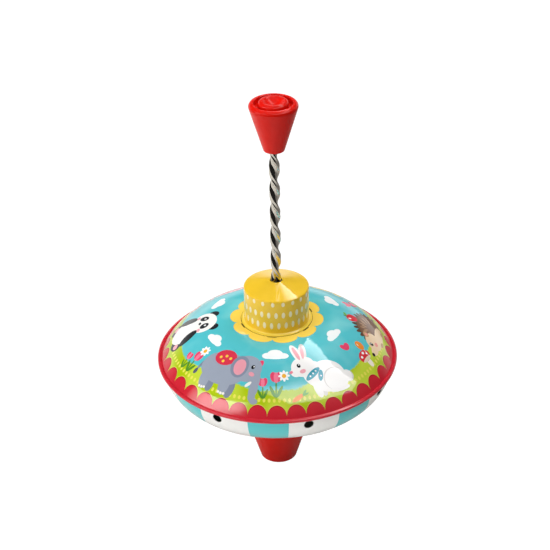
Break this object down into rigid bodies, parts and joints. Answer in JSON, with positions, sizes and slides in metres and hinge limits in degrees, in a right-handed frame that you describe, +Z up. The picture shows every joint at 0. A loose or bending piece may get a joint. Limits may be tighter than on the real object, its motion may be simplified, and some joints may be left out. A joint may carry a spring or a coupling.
{
  "type": "humming spinning top",
  "caption": "Tin humming top for a child: lens-shaped printed shells that spin on a cone foot when a knob on a spiral rod is pumped.",
  "frame": {"origin": "centre of the foot's flat bottom, on the axis of spin", "axes": "+Z up along the axis of spin, from the foot to the knob; +X to the right and -Y towards a viewer in front"},
  "size_m": [0.19, 0.19, 0.318],
  "materials": {
    "red_plastic": "injection-moulded polypropylene, signal red, semi-gloss",
    "printed_tin_dome": null,
    "printed_tin_bowl": "lithographed tinplate under clear varnish: white and turquoise panels",
    "printed_tin_collar": "lithographed tinplate under clear varnish: yellow with rows of white ovals",
    "plain_tin": "bare tinplate",
    "polished_steel": "polished, nickel-plated steel bar",
    "zinc_steel": "zinc-plated steel",
    "nylon": "natural nylon, moulded",
    "reed_brass": "rolled spring brass",
    "rivet_aluminium": "plain aluminium"
  },
  "bodies": {
    "stand": {"foot_cone": "red_plastic", "centre_tube": "zinc_steel", "tube_plug": "zinc_steel", "foot_screw": "zinc_steel", "thrust_washer": "nylon", "keeper_washer": "zinc_steel", "keeper_clip": "zinc_steel"},
    "top_body": {"top_shell": "printed_tin_dome", "bottom_shell": "printed_tin_bowl", "collar": "printed_tin_collar", "bridge_plate": "plain_tin", "upper_bush": "nylon", "lower_bush": "nylon", "reed_plate": "plain_tin", "reeds": "reed_brass", "reed_rivets": "rivet_aluminium", "plate_rivets": "rivet_aluminium", "clutch_ring": "nylon", "clutch_rivets": "rivet_aluminium"},
    "driver": {"drive_nut": "nylon", "slot_plate": "zinc_steel", "slot_plate_screws": "zinc_steel"},
    "plunger": {"spiral_rod": "polished_steel", "rod_stop": "zinc_steel", "knob_body": "red_plastic", "knob_cap": "red_plastic", "knob_washer": "zinc_steel", "knob_nut": "zinc_steel"}
  },
  "joints": [
    {"name": "body_spin", "type": "hinge", "parent": "stand", "child": "top_body", "pos_m": [0, 0, 0.1], "axis": [0, 0, 1], "continuous": true},
    {"name": "plunger_slide", "type": "slide", "parent": "stand", "child": "plunger", "axis": [0, 0, -1], "range_m": [0, 0.111]},
    {"name": "driver_spin", "type": "hinge", "parent": "stand", "child": "driver", "pos_m": [0, 0, 0.145], "axis": [0, 0, 1], "continuous": true}
  ],
  "couplings": [
    {"joint": "driver_spin", "follows": "plunger_slide", "rad_per_m": -161.11}
  ]
}
